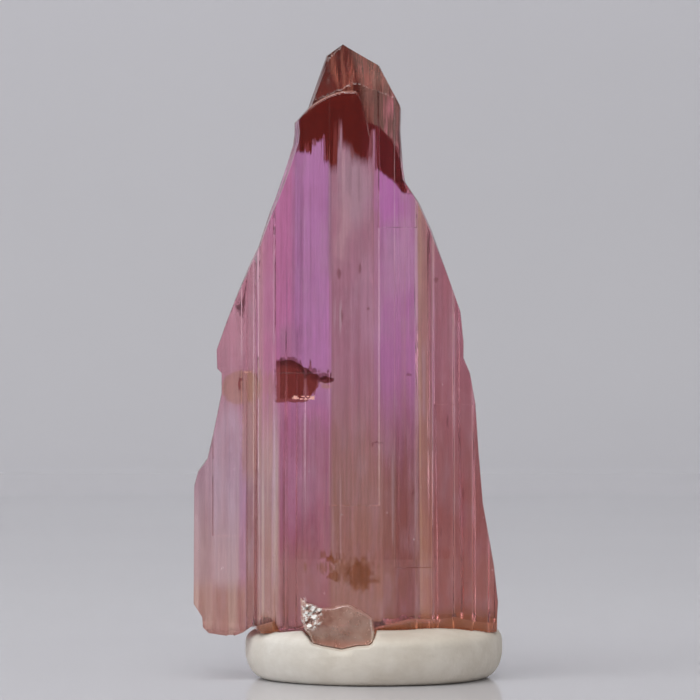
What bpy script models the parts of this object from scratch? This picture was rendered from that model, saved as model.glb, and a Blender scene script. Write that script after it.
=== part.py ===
# A natural tanzanite crystal standing in a pressed disc of white mineral tack.
# Units are metres with Z up. The front of the crystal faces -Y. The origin is under the
# middle of the whole piece, on the surface that it stands on.

import bpy
import bmesh
import math
import numpy as np

# All sizes below are in millimetres and are scaled to metres when a mesh is made.
MM = 0.001
WELD = 1e-6
MIN_COLUMN = 0.05
MIN_ROW = 0.12
CLEARANCE = 0.3

# The crystal's left and right edges, seen from the front, as (height, x).
LEFT_EDGE = [
    (2.30, -6.99), (2.67, -7.28), (3.17, -7.31), (3.82, -7.745), (9.60, -7.72), (10.35, -7.52),
    (11.00, -7.05), (12.21, -6.77), (14.26, -6.35), (15.27, -6.35), (15.50, -6.57), (16.42, -6.60),
    (17.78, -6.12), (19.33, -5.52), (20.74, -4.92), (21.59, -4.50), (23.25, -3.95), (24.10, -3.62),
    (25.31, -3.20), (26.71, -2.75), (27.26, -2.68), (27.82, -2.68), (28.57, -2.00), (31.20, -1.07),
    (31.76, -0.25),
]
RIGHT_EDGE = [
    (3.00, 7.49), (3.82, 7.54), (5.68, 7.33), (7.19, 7.06), (8.74, 6.78), (11.35, 6.56),
    (13.71, 6.41), (15.27, 6.13), (16.02, 5.81), (16.82, 5.81), (18.33, 5.66), (20.19, 5.01),
    (22.47, 4.18), (23.78, 3.59), (24.85, 2.88), (25.51, 2.77), (27.36, 2.64), (28.57, 2.66),
    (30.68, 1.58), (31.76, -0.25),
]
TIP_HEIGHT = 31.76

# Heights of the crystal's mesh rows: one at each bend of the two edges and at each ledge.
ROW_HEIGHTS = [
    2.30, 2.67, 3.17, 3.82, 5.68, 7.19, 8.74, 9.60, 10.35, 11.00, 12.21, 13.71, 14.26, 15.27,
    15.50, 16.02, 16.42, 16.82, 17.78, 18.33, 19.33, 20.19, 20.74, 21.59, 22.47, 23.25, 23.78,
    24.10, 24.85, 25.51, 26.71, 27.36, 27.82, 28.57, 29.15, 29.75, 30.20, 30.68, 31.20, 31.50, 31.76,
]

# The lined front face as (x, distance forward of the middle plane). Each pair of near points
# is the narrow riser between two flat strips.
FRONT_STRIPS = [
    (-7.75, 1.90), (-7.30, 2.35), (-6.75, 2.48), (-6.68, 2.30), (-6.02, 2.62), (-5.95, 2.45),
    (-5.32, 2.68), (-5.18, 2.10), (-4.84, 2.28), (-4.70, 3.02), (-4.28, 3.42), (-4.20, 3.28),
    (-3.72, 3.46), (-3.56, 3.05), (-3.18, 3.20), (-3.10, 3.38), (-2.68, 3.50), (-2.58, 3.30),
    (-2.20, 3.42), (-2.12, 3.60), (-1.72, 3.62), (-1.64, 3.45), (-0.96, 3.82), (-0.84, 3.50),
    (-0.52, 3.62), (-0.44, 3.82), (-0.18, 3.66), (0.22, 3.80), (0.30, 3.96), (0.76, 3.80),
    (1.18, 3.86), (1.48, 4.02), (1.62, 3.66), (1.94, 3.90), (2.28, 3.94), (2.36, 3.74),
    (2.86, 3.90), (3.34, 3.80), (3.46, 3.40), (3.88, 3.60), (4.18, 3.54), (4.30, 3.16),
    (4.84, 3.28), (5.18, 3.14), (5.28, 2.92), (5.80, 2.95), (6.18, 2.74), (6.28, 2.50),
    (6.80, 2.42), (7.20, 2.10), (7.60, 1.85),
]

# The back face in the same form, as distance behind the middle plane. It is broader and plainer.
BACK_STRIPS = [
    (-7.75, 1.70), (-6.75, 2.35), (-6.68, 2.10), (-5.32, 2.60), (-5.18, 2.95), (-3.72, 3.30),
    (-3.56, 3.05), (-2.20, 3.55), (-2.12, 3.78), (-0.96, 3.85), (-0.84, 3.60), (0.76, 3.70),
    (1.18, 3.45), (2.28, 3.35), (2.36, 3.10), (3.88, 3.05), (4.18, 2.75), (5.28, 2.60),
    (5.80, 2.25), (7.20, 1.80), (7.60, 1.55),
]

# How the thickness falls with height, as (height, share of the full thickness).
THICKNESS = [(0.0, 1.0), (8.0, 0.98), (16.0, 0.86), (24.0, 0.68), (28.5, 0.58), (31.8, 0.54)]

# Small ledges across the lines, as (first x, last x, height, step back above it).
LEDGES = [
    (-3.60, -0.90, 15.27, 0.16), (1.50, 3.40, 22.47, 0.14), (4.25, 6.20, 13.71, 0.15),
    (-6.70, -5.30, 7.19, 0.12), (-0.90, 1.55, 8.74, 0.12), (2.30, 4.25, 5.68, 0.14),
]

# The narrow faces along the two edges: their half thickness and how far they stand in.
EDGE_HALF = 0.32
EDGE_INSET = 0.08

# The sloping flanks between the edge faces and the lined faces, as (height, width).
FLANK_NARROW = [(4.0, 0.45), (10.0, 0.45), (12.2, 0.85), (18.0, 0.95), (24.0, 0.65), (28.0, 0.45)]
FLANK_BROAD = [(4.0, 0.95), (14.0, 1.00), (20.0, 1.10), (25.0, 0.60), (28.0, 0.55)]
FLANK_LARGEST_SHARE = 0.3

# The head's sloping faces. Each gives the thickness left at a point: rise times the depth
# below the tip, plus lean times x, plus the thickness at the tip.
HEAD_FRONT_LEFT = (0.86, 0.62, 0.10)
HEAD_FRONT_RIGHT = (1.05, -0.42, 0.10)
HEAD_BACK = (0.74, 0.10, 0.10)

# The broken foot: height of its lip along the front, as (x, height).
FOOT_LIP = [
    (-7.75, 2.45), (-6.99, 2.40), (-5.75, 2.22), (-5.18, 2.42), (-4.72, 2.74), (-3.62, 3.05),
    (-3.34, 2.42), (-2.55, 2.36), (1.40, 2.55), (2.45, 2.95), (3.53, 3.25), (5.25, 3.20),
    (6.45, 2.90), (7.50, 2.86),
]
# The middle of the foot reaches lower and stands in the tack.
PEG_LEFT = -3.40
PEG_RIGHT = 5.60
PEG_BOTTOM = 1.55
FOOT_ROWS = [0.07, 0.15, 0.34, 0.52, 0.70, 0.85, 0.93]
PEG_ROWS = (0.12, 0.88)

# The colourless lump on the front of the foot, as its outline (x, height) seen from the front.
LUMP_OUTLINE = [
    (-2.45, 4.35), (-2.00, 4.15), (-1.47, 3.88), (-0.60, 3.95), (0.05, 3.98), (0.55, 3.78),
    (1.20, 3.46), (1.36, 2.90), (1.36, 2.18), (1.18, 1.92), (0.55, 1.96), (-0.15, 1.78),
    (-0.80, 1.84), (-1.47, 2.04), (-1.65, 2.38), (-2.20, 2.84), (-2.37, 3.36),
]
LUMP_BACK = -3.10
LUMP_SHOULDER = -4.15
LUMP_FRONT = -4.62
LUMP_FRONT_SCALE = 0.66

# Small broken pits in the front face, as (x, height, radius).
PITS = [
    (3.05, 15.20, 0.20), (5.02, 12.85, 0.26), (1.52, 11.75, 0.18), (3.28, 9.25, 0.20),
    (4.36, 6.05, 0.18), (-0.45, 20.60, 0.17), (-2.35, 6.60, 0.18), (6.05, 9.80, 0.20),
]
PIT_DEPTH = 0.16

# The tack disc: centre, half width, half depth, height of its widest ring and of its top.
DISC_X = 1.327
DISC_HALF_X = 6.50
DISC_HALF_Y = 6.20
DISC_WIDEST = 1.25
DISC_TOP = 2.60
DISC_SIDES = 56
SHOULDER_POWER = 4.5
# Rings below the widest one as (share of the radius, height), then shares for the top.
DISC_WALL = [(0.86, 0.0), (0.93, 0.12), (0.985, 0.55), (1.0, 1.25)]
DISC_SHOULDER = [0.997, 0.98, 0.95, 0.90, 0.83, 0.72, 0.50, 0.25]
# A dent in the top in front of the lump, as (x, y, half width, half depth, drop).
DISC_DENT = (-0.55, -5.60, 1.90, 1.10, 0.72)

# The socket that the foot stands in, seen from above.
SOCKET_OUTLINE = [
    (-3.86, 3.58), (-3.86, -3.38), (-3.00, -4.08), (-2.78, -4.92), (1.68, -4.92), (1.80, -4.25),
    (2.20, -4.10), (2.64, -3.26), (6.00, -2.90), (6.00, 2.70), (2.60, 3.29), (2.00, 4.15),
    (-2.40, 4.15),
]
SOCKET_FLOOR = PEG_BOTTOM - CLEARANCE
SOCKET_TOP = 5.0


def clear_scene():
    for item in list(bpy.data.objects):
        bpy.data.objects.remove(item, do_unlink=True)


def principled(name, colour, roughness, transmission=0.0, ior=1.5):
    material = bpy.data.materials.new(name)
    material.use_nodes = True
    shader = material.node_tree.nodes["Principled BSDF"]
    shader.inputs["Base Color"].default_value = colour
    shader.inputs["Roughness"].default_value = roughness
    shader.inputs["Metallic"].default_value = 0.0
    shader.inputs["Transmission Weight"].default_value = transmission
    shader.inputs["IOR"].default_value = ior
    return material


def along(points, value):
    # Straight-line reading of a list of (position, value) points.
    positions, values = zip(*points)
    return np.interp(value, positions, values)


def ledge_step(x, height):
    # Total step back at a point: every ledge that is below it and as wide as it.
    step = np.zeros(np.broadcast(x, height).shape)
    for first, last, ledge_height, drop in LEDGES:
        inside = (x > first) & (x < last) & (height > ledge_height)
        step = step + np.where(inside, drop, 0.0)
    return step


def head_limit(x, height, face):
    rise, lean, at_tip = face
    return at_tip + rise * (TIP_HEIGHT - height) + lean * x


def front_depth(x, height):
    lined = along(FRONT_STRIPS, x) * along(THICKNESS, height) - ledge_step(x, height)
    head_left = head_limit(x, height, HEAD_FRONT_LEFT)
    head_right = head_limit(x, height, HEAD_FRONT_RIGHT)
    return np.minimum.reduce([lined, head_left, head_right])


def back_depth(x, height):
    lined = along(BACK_STRIPS, x) * along(THICKNESS, height)
    return np.minimum(lined, head_limit(x, height, HEAD_BACK))


def edge_share(height):
    # The edge faces narrow to nothing at the tip.
    return min(1.0, 2.0 * (TIP_HEIGHT - height))


def mesh_columns(height, left_flank, right_flank):
    # The fixed columns, pulled in to the inner lines of the flanks at one height. Outside
    # them come the lines of the narrow faces and the two edges themselves.
    columns = np.array([x for x, _ in FRONT_STRIPS])
    left = along(LEFT_EDGE, height)
    right = along(RIGHT_EDGE, height)
    inset = EDGE_INSET * edge_share(height)
    largest = FLANK_LARGEST_SHARE * (right - left)
    first = left + min(along(left_flank, height), largest)
    last = right - min(along(right_flank, height), largest)
    lined = np.where(columns < first + MIN_COLUMN, first, columns)
    lined = np.where(lined > last - MIN_COLUMN, last, lined)
    return np.concatenate([[left, left + inset], lined, [right - inset, right]])


def face_row(height, depth_rule, side, flanks):
    # One row across the front (side -1) or the back (side 1), as points (x, y, z).
    x = mesh_columns(height, *flanks)
    lip = along(FOOT_LIP, x)
    z = np.where(height < lip + MIN_ROW, lip, height)
    narrowest = EDGE_HALF * edge_share(height)
    thickness = np.maximum(depth_rule(x, z), narrowest)
    thickness[[1, -2]] = narrowest
    thickness[[0, -1]] = 0.0
    return np.stack([x, side * thickness, z], axis=1)


def front_row(height):
    return face_row(height, front_depth, -1, (FLANK_NARROW, FLANK_BROAD))


def back_row(height):
    return face_row(height, back_depth, 1, (FLANK_BROAD, FLANK_NARROW))


def foot_rows():
    # Rows that close the foot from the front lip to the back lip.
    front = front_row(ROW_HEIGHTS[0])
    back = back_row(ROW_HEIGHTS[0])
    rows = []
    for share in FOOT_ROWS:
        row = front + (back - front) * share
        in_peg = (row[:, 0] > PEG_LEFT) & (row[:, 0] < PEG_RIGHT)
        if PEG_ROWS[0] < share < PEG_ROWS[1]:
            row[:, 2] = np.where(in_peg, PEG_BOTTOM, row[:, 2])
        rows.append(row)
    return rows


def crystal_rows():
    # A closed loop of rows: down the front, under the foot and up the back.
    down = [front_row(height) for height in reversed(ROW_HEIGHTS)]
    up = [back_row(height) for height in ROW_HEIGHTS]
    return down + foot_rows() + up


def skin(name, rows):
    # Quads between neighbouring rows. Rows and columns that meet are welded afterwards.
    body = bmesh.new()
    grid = [[body.verts.new(point * MM) for point in row] for row in rows]
    for upper, lower in zip(grid, grid[1:]):
        for a, b, c, d in zip(upper, lower, lower[1:], upper[1:]):
            body.faces.new((a, b, c, d))
    bmesh.ops.remove_doubles(body, verts=body.verts, dist=WELD)
    bmesh.ops.triangulate(body, faces=body.faces)
    bmesh.ops.recalc_face_normals(body, faces=body.faces)
    return finish(name, body)


def finish(name, body):
    mesh = bpy.data.meshes.new(name)
    body.to_mesh(mesh)
    body.free()
    item = bpy.data.objects.new(name, mesh)
    bpy.context.scene.collection.objects.link(item)
    return item


def prism(name, loops):
    # A closed solid from two or more matching loops of points, with its ends filled.
    body = bmesh.new()
    rings = [[body.verts.new([value * MM for value in point]) for point in loop] for loop in loops]
    for near, far in zip(rings, rings[1:]):
        for index in range(len(near)):
            after = (index + 1) % len(near)
            body.faces.new((near[index], near[after], far[after], far[index]))
    body.faces.new(rings[0])
    body.faces.new(rings[-1])
    bmesh.ops.recalc_face_normals(body, faces=body.faces)
    return finish(name, body)


def combine(target, tool, operation):
    # Apply an exact Boolean and remove the tool.
    change = target.modifiers.new(operation.lower(), "BOOLEAN")
    change.operation = operation
    change.solver = "EXACT"
    change.object = tool
    bpy.context.view_layer.update()
    evaluated = target.evaluated_get(bpy.context.evaluated_depsgraph_get())
    mesh = bpy.data.meshes.new_from_object(evaluated)
    target.modifiers.clear()
    target.data = mesh
    bpy.data.objects.remove(tool, do_unlink=True)


def make_lump():
    centre_x = sum(x for x, _ in LUMP_OUTLINE) / len(LUMP_OUTLINE)
    centre_z = sum(z for _, z in LUMP_OUTLINE) / len(LUMP_OUTLINE)
    loops = [[(x, y, z) for x, z in LUMP_OUTLINE] for y in (LUMP_BACK, LUMP_SHOULDER)]
    front = []
    for x, z in LUMP_OUTLINE:
        near_x = centre_x + (x - centre_x) * LUMP_FRONT_SCALE
        near_z = centre_z + (z - centre_z) * LUMP_FRONT_SCALE
        front.append((near_x, LUMP_FRONT, near_z))
    return prism("lump_tool", loops + [front])


def make_pit(x, height, radius):
    # A four-sided chip, longer along the lines, with its point in the crystal.
    depth = float(front_depth(np.array(x), np.array(height)))
    mouth = -depth - 0.3
    reach = radius * (PIT_DEPTH + 0.3) / PIT_DEPTH
    corners = [(-0.7, 0.0), (0.0, -1.5), (0.8, 0.1), (0.1, 1.3)]
    body = bmesh.new()
    ring = [body.verts.new(((x + u * reach) * MM, mouth * MM, (height + w * reach) * MM)) for u, w in corners]
    point = body.verts.new((x * MM, (-depth + PIT_DEPTH) * MM, height * MM))
    for near, after in zip(ring, ring[1:] + ring[:1]):
        body.faces.new((near, after, point))
    body.faces.new(ring)
    bmesh.ops.recalc_face_normals(body, faces=body.faces)
    return finish("pit_tool", body)


def make_crystal():
    crystal = skin("crystal", crystal_rows())
    combine(crystal, make_lump(), "UNION")
    for x, height, radius in PITS:
        combine(crystal, make_pit(x, height, radius), "DIFFERENCE")
    crystal.data.materials.clear()
    crystal.data.materials.append(principled("tanzanite", (0.42, 0.17, 0.32, 1.0), 0.12, 0.9, 1.69))
    crystal.data.shade_flat()
    return crystal


def disc_lumps(angle):
    # Uneven hand-pressed outline: a few slow waves around the disc.
    waves = 0.012 * math.sin(2.0 * angle + 0.6)
    waves += 0.010 * math.sin(3.0 * angle - 1.1)
    waves += 0.006 * math.sin(7.0 * angle + 2.0)
    return 1.0 + waves - 0.016


def disc_top(x, y, share):
    shoulder = (1.0 - share ** SHOULDER_POWER) ** (1.0 / SHOULDER_POWER)
    height = DISC_WIDEST + (DISC_TOP - DISC_WIDEST) * shoulder
    dent_x, dent_y, half_width, half_depth, drop = DISC_DENT
    away = ((x - dent_x) / half_width) ** 2 + ((y - dent_y) / half_depth) ** 2
    return height - drop * math.exp(-away) * shoulder


def disc_ring(share, height=None):
    ring = []
    for index in range(DISC_SIDES):
        angle = 2.0 * math.pi * index / DISC_SIDES
        reach = share * disc_lumps(angle)
        x = DISC_X + DISC_HALF_X * reach * math.cos(angle)
        y = DISC_HALF_Y * reach * math.sin(angle)
        z = disc_top(x, y, share) if height is None else height
        ring.append((x, y, z))
    return ring


def make_putty():
    rings = [disc_ring(share, height) for share, height in DISC_WALL]
    rings += [disc_ring(share) for share in DISC_SHOULDER]
    putty = prism("putty_base", rings)
    floor = [(x, y, SOCKET_FLOOR) for x, y in SOCKET_OUTLINE]
    mouth = [(x, y, SOCKET_TOP) for x, y in SOCKET_OUTLINE]
    combine(putty, prism("socket_tool", [floor, mouth]), "DIFFERENCE")
    putty.data.materials.clear()
    putty.data.materials.append(principled("white_tack", (0.60, 0.58, 0.53, 1.0), 0.75))
    putty.data.shade_smooth()
    putty.data.set_sharp_from_angle(angle=math.radians(40.0))
    return putty


def main():
    clear_scene()
    make_putty()
    make_crystal()


main()
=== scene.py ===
import math

import bpy
import numpy as np
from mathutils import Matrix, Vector


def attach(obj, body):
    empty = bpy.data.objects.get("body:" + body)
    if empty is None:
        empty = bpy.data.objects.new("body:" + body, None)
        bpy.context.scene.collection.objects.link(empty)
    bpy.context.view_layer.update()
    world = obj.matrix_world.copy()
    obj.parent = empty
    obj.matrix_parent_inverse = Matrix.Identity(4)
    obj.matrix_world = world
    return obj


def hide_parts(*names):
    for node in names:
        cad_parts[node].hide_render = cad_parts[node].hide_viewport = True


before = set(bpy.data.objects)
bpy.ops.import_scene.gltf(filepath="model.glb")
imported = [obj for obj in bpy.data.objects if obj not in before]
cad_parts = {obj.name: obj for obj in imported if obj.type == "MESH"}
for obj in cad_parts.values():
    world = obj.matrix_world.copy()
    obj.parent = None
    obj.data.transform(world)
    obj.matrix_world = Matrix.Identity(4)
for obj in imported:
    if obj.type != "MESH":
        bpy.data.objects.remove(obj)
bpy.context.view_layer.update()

# Looks for a tanzanite crystal that stands in a disc of white tack.
# Shapes are worked out in millimetres and scaled to metres when they become meshes.

mm = 0.001
scene = bpy.context.scene


# Small tools for the shapes

def along(points, value):
    # straight-line reading of a list of (position, value) points
    positions, values = zip(*points)
    return np.interp(value, positions, values)


def smoothNoise(x, z, seed, waves=7):
    # a sum of sine waves in random directions and phases, about -1 to 1
    rng = np.random.default_rng(seed)
    total = 0.0
    for size in range(1, waves + 1):
        angle = rng.uniform(0.0, 2.0 * math.pi)
        phase = rng.uniform(0.0, 2.0 * math.pi)
        reach = rng.uniform(0.5, 1.6)
        total = total + np.sin(reach * (x * math.cos(angle) + z * math.sin(angle)) + phase)
    return total / math.sqrt(waves * 1.6)


def lineProfile(seed, first, last, pitch, depth):
    # flat strips of random width, level and tilt with narrow risers between; most lines are
    # faint and a few are strong
    rng = np.random.default_rng(seed)
    spread = 0.6
    strongest = 1.3 * depth
    widths = pitch * np.exp(rng.normal(0.0, spread, int(2.2 * (last - first) / pitch)))
    ends = first + np.cumsum(widths)
    levels = depth * rng.normal(0.0, 1.0, len(ends)) ** 3 * 0.5
    levels = np.clip(levels, -strongest, strongest)
    tilts = rng.uniform(-0.6 * depth, 0.6 * depth, len(ends))
    riser = 0.3 * widths
    places = np.stack([ends - widths + riser, ends - riser], axis=1).ravel()
    heights = np.stack([levels - tilts, levels + tilts], axis=1).ravel()
    return places, heights


def gridMesh(name, rows, marks=None):
    # rows is an array of points [row, column, xyz] in millimetres. Points that fall together
    # are made one, each quad becomes two triangles, and triangles with no area are dropped.
    # marks holds one number a point under each name, for the materials to read.
    shape = rows.shape
    flat = rows.reshape(-1, 3)
    together = 0.002
    keys = np.round(flat / together).astype(np.int64)
    _, firsts, ids = np.unique(keys, axis=0, return_index=True, return_inverse=True)
    ids = ids.reshape(shape[0], shape[1])
    a, b = ids[:-1, :-1].ravel(), ids[1:, :-1].ravel()
    c, d = ids[1:, 1:].ravel(), ids[:-1, 1:].ravel()
    triangles = np.concatenate([np.stack([a, b, c], 1), np.stack([a, c, d], 1)])
    real = (triangles[:, 0] != triangles[:, 1]) & (triangles[:, 1] != triangles[:, 2])
    real &= triangles[:, 0] != triangles[:, 2]
    item = triangleMesh(name, flat[firsts], triangles[real])
    for markName, values in (marks or {}).items():
        mark = item.data.attributes.new(markName, "FLOAT", "POINT")
        mark.data.foreach_set("value", values.ravel()[firsts].astype(np.float32))
    return item


def triangleMesh(name, points, triangles):
    mesh = bpy.data.meshes.new(name)
    count = len(triangles)
    mesh.vertices.add(len(points))
    mesh.vertices.foreach_set("co", (points * mm).astype(np.float32).ravel())
    mesh.loops.add(count * 3)
    mesh.loops.foreach_set("vertex_index", triangles.astype(np.int32).ravel())
    mesh.polygons.add(count)
    mesh.polygons.foreach_set("loop_start", np.arange(0, count * 3, 3, dtype=np.int32))
    mesh.update(calc_edges=True)
    mesh.validate()
    item = bpy.data.objects.new(name, mesh)
    scene.collection.objects.link(item)
    return item


# The tanzanite crystal

# width of the sloping flanks beside the lined faces, as (height, width)
narrowFlank = [(4.0, 0.09), (18.0, 0.1), (22.0, 0.16), (24.5, 0.28), (27.2, 0.3), (28.0, 0.2)]
broadFlank = [(4.0, 0.09), (20.0, 0.1), (22.5, 0.16), (25.0, 0.14), (28.0, 0.08)]

crystalForm = {
    # the two edges seen from the front, as (height, x)
    "leftEdge": [
        (2.3, -6.99), (2.67, -7.28), (3.17, -7.31), (3.82, -7.745), (9.6, -7.72), (10.35, -7.52),
        (11.0, -7.05), (12.21, -6.77), (14.26, -6.35), (15.27, -6.35), (15.5, -6.57),
        (16.42, -6.6), (17.78, -6.12), (19.33, -5.52), (20.74, -4.92), (21.59, -4.5),
        (23.25, -3.95), (24.1, -3.62), (25.31, -3.2), (26.71, -2.75), (27.26, -2.68),
        (27.82, -2.68), (28.57, -2.0), (31.2, -1.07), (31.76, -0.25),
    ],
    "rightEdge": [
        (3.0, 7.49), (3.82, 7.54), (5.68, 7.33), (7.19, 7.06), (8.74, 6.78), (11.35, 6.56),
        (13.71, 6.41), (15.27, 6.13), (16.02, 5.81), (16.82, 5.81), (18.33, 5.66), (20.19, 5.01),
        (22.47, 4.18), (23.78, 3.59), (24.85, 2.88), (25.51, 2.77), (27.36, 2.64), (28.57, 2.66),
        (30.68, 1.58), (31.76, -0.25),
    ],
    "tip": 31.76,
    "absorption": (0.92, 0.7, 0.84, 1.0),
    "absorptionDensity": 45.0,
    "thickness": [
        (0.0, 1.0), (4.0, 0.997), (6.0, 0.99), (8.0, 0.977), (10.0, 0.956), (12.0, 0.929),
        (16.0, 0.86), (20.0, 0.775), (24.0, 0.68), (28.5, 0.58), (31.8, 0.54),
    ],
    "edgeHalf": 0.32,
    "edgeInset": 0.08,
    "footLip": [
        (-7.75, 2.45), (-6.99, 2.4), (-5.75, 2.22), (-5.18, 2.42), (-4.72, 2.74), (-3.62, 3.05),
        (-3.34, 2.42), (-2.55, 2.36), (1.4, 2.76), (3.1, 3.16), (4.4, 3.1), (5.25, 3.24),
        (6.45, 2.94), (7.5, 2.86),
    ],
    # the peg in the tack: first x, last x, bottom
    "peg": (-3.4, 5.6, 1.55),
    # first and last x of the columns of the lined faces, and their number
    "faceSpan": (-7.72, 7.52),
    "columns": 336,
    "flankColumns": 13,
    # how far each column of a flank stands in or out, as a share of the flank's width
    "flankSteps": (0.0, -0.1, 0.02, 0.12, -0.04, 0.1, -0.12, 0.0, 0.13, -0.06, 0.08, -0.08, 0.0),
    "footRows": 26,
    # first, last and step of the evenly spaced rows
    "rowSpans": [(3.4, 24.0, 0.27), (24.0, 27.7, 0.13), (27.7, 29.5, 0.05), (29.5, 31.7, 0.09)],
    "front": {
        "way": -1.0,
        "seed": 11,
        "fine": 0.009,
        "headLines": 2.0,
        "arcStep": 0.07,
        "flanks": (narrowFlank, broadFlank),
        # rise below the tip, lean along x and thickness at the tip of each sloping head face
        "headFaces": [(0.86, 0.42, 0.15), (1.05, -0.42, 0.13)],
        # ledges across the lines, as (first x, last x, height, step back above it)
        "ledges": [
            (-3.6, -0.9, 15.27, 0.06), (1.5, 3.4, 22.47, 0.05), (4.25, 6.2, 13.71, 0.05),
            (-6.7, -5.3, 7.19, 0.05), (-0.9, 1.55, 8.74, 0.04), (2.3, 4.25, 5.68, 0.04),
        ],
        # how much of each line stays, as (x, share)
        "keep": [
            (-8.0, 0.45), (-5.5, 0.45), (-5.3, 0.6), (-4.8, 1.0), (-4.4, 1.0), (-4.2, 0.5),
            (-3.9, 0.5), (-3.7, 0.8), (-3.55, 0.8), (-3.4, 0.3), (2.9, 0.3), (3.3, 0.8),
            (8.0, 0.95),
        ],
        # lines of the face as (x, distance from the middle plane)
        "strips": [
            (-7.75, 2.1), (-7.32, 2.36), (-6.75, 2.42), (-6.7, 2.36), (-6.02, 2.5),
            (-5.97, 2.46), (-5.45, 2.54), (-5.14, 2.14), (-4.64, 2.2), (-4.54, 3.06),
            (-4.36, 3.24), (-4.22, 3.28), (-4.16, 3.22), (-3.72, 3.32), (-3.62, 3.06),
            (-3.18, 3.14), (-3.12, 3.3), (-2.66, 3.36), (-2.6, 3.3), (-2.2, 3.36),
            (-2.12, 3.54), (-1.72, 3.54), (-1.66, 3.46), (-0.94, 3.66), (-0.88, 3.52),
            (-0.52, 3.6), (-0.46, 3.72), (-0.16, 3.7), (0.22, 3.74), (0.3, 3.86),
            (0.76, 3.8), (1.18, 3.8), (1.5, 3.84), (1.6, 3.72), (1.94, 3.8), (2.28, 3.82),
            (2.36, 3.72), (2.86, 3.74), (3.34, 3.68), (3.42, 3.44), (4.18, 3.4), (4.26, 3.22),
            (5.18, 3.15), (5.25, 2.9), (6.18, 2.84), (6.25, 2.5), (6.95, 2.42), (7.02, 2.14),
            (7.6, 2.0),
        ],
    },
    "back": {
        "way": 1.0,
        "seed": 31,
        "fine": 0.006,
        "headLines": 1.0,
        "arcStep": 0.0,
        "flanks": (broadFlank, narrowFlank),
        "headFaces": [(0.74, 0.1, 0.1)],
        "ledges": [],
        "keep": [(-8.0, 0.35), (3.2, 0.35), (3.9, 1.0), (8.0, 1.0)],
        "strips": [
            (-7.75, 2.0), (-6.75, 2.25), (-6.68, 2.22), (-5.32, 2.46), (-5.24, 3.0),
            (-3.7, 3.2), (-3.62, 3.12), (-2.2, 3.45), (-2.12, 3.74), (-0.94, 3.8),
            (-0.86, 3.62), (0.92, 3.66), (1.0, 3.42), (2.28, 3.36), (2.36, 3.12), (3.98, 3.0),
            (4.06, 2.83), (5.46, 2.68), (5.54, 2.28), (6.92, 2.12), (7.0, 1.78), (7.6, 1.68),
        ],
    },
}

# the curved crack under the head: a shallow arch that drops away on its right
arch = {"top": 29.25, "middle": 0.1, "bend": 0.2, "dropFrom": 0.35, "drop": 4.0}
# fine places across a face
faceX = np.linspace(-8.0, 8.0, 1601)


def edgeShare(height):
    # the narrow edge faces close up towards the tip
    return np.minimum(1.0, 2.0 * (crystalForm["tip"] - height))


def arcHeight(x):
    # height of the curved crack under the head
    bend = arch["bend"] * (x - arch["middle"]) ** 2
    return arch["top"] - bend - arch["drop"] * np.maximum(0.0, x - arch["dropFrom"]) ** 2


def runningMean(values, width):
    # mean of an odd number of neighbours, with the middle ones counted most
    weights = np.hanning(width + 2)[1:-1]
    padded = np.pad(values, width // 2, mode="edge")
    return np.convolve(padded, weights / weights.sum(), mode="valid")


def linedFace(strips, keep, x, z, seed):
    # the running mean of the strips, and the lines on it. keep says how much of each line
    # stays, and the lines grow faint and strong again up the crystal
    depth = along(strips, faceX)
    mean = runningMean(depth, 121)
    share = along(keep, faceX)
    lines = runningMean(share * (depth - mean), 15)
    softer = runningMean(share * (depth - mean), 45)
    lines = softer + (lines - softer) * np.clip((share - 0.5) / 0.5, 0.0, 1.0)
    strength = np.clip(0.62 + 0.55 * smoothNoise(x * 0.5, z * 0.22, seed + 60), 0.1, 1.1)
    strength = strength + (1.0 - strength) * np.interp(x, faceX, share) ** 4
    return np.interp(x, faceX, mean) + strength * np.interp(x, faceX, lines)


def fineLines(x, z, seed, depth):
    # three sets of fine lines that take turns up the crystal, so that lines start and end
    lines = 0.0
    for turn in range(3):
        places, heights = lineProfile(seed + turn, faceX[0], faceX[-1], 0.22, depth)
        soft = runningMean(np.interp(faceX, places, heights), 17)
        share = 0.5 + 0.6 * smoothNoise(x * 0.3, z * 0.14, seed + 40 + turn)
        lines = lines + np.clip(share, 0.0, 1.0) * np.interp(x, faceX, soft)
    return lines


def headLimit(x, z, face):
    # thickness left under a sloping head face
    rise, lean, atTip = face
    return atTip + rise * (crystalForm["tip"] - z) + lean * x


def facedDepth(x, z, side):
    # strips scaled by the taper, with ledges and fine lines, cut by the head's faces
    form = crystalForm[side]
    faced = linedFace(form["strips"], form["keep"], x, z, form["seed"])
    faced = faced * along(crystalForm["thickness"], z)
    for first, last, ledgeHeight, drop in form["ledges"]:
        faced = faced - drop * ((x > first) & (x < last) & (z > ledgeHeight))
    faced = faced + fineLines(x, z, form["seed"], form["fine"])
    cut = faced
    for number, face in enumerate(form["headFaces"]):
        rough = form["headLines"] * fineLines(x, z, form["seed"] + 7 + number, form["fine"])
        cut = np.minimum(cut, headLimit(x, z, face) + rough)
    below = np.clip((arcHeight(x) - z) / 0.07, 0.0, 1.0) * np.clip((z - 26.4) / 2.0, 0.0, 1.0)
    return cut + form["arcStep"] * below


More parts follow.
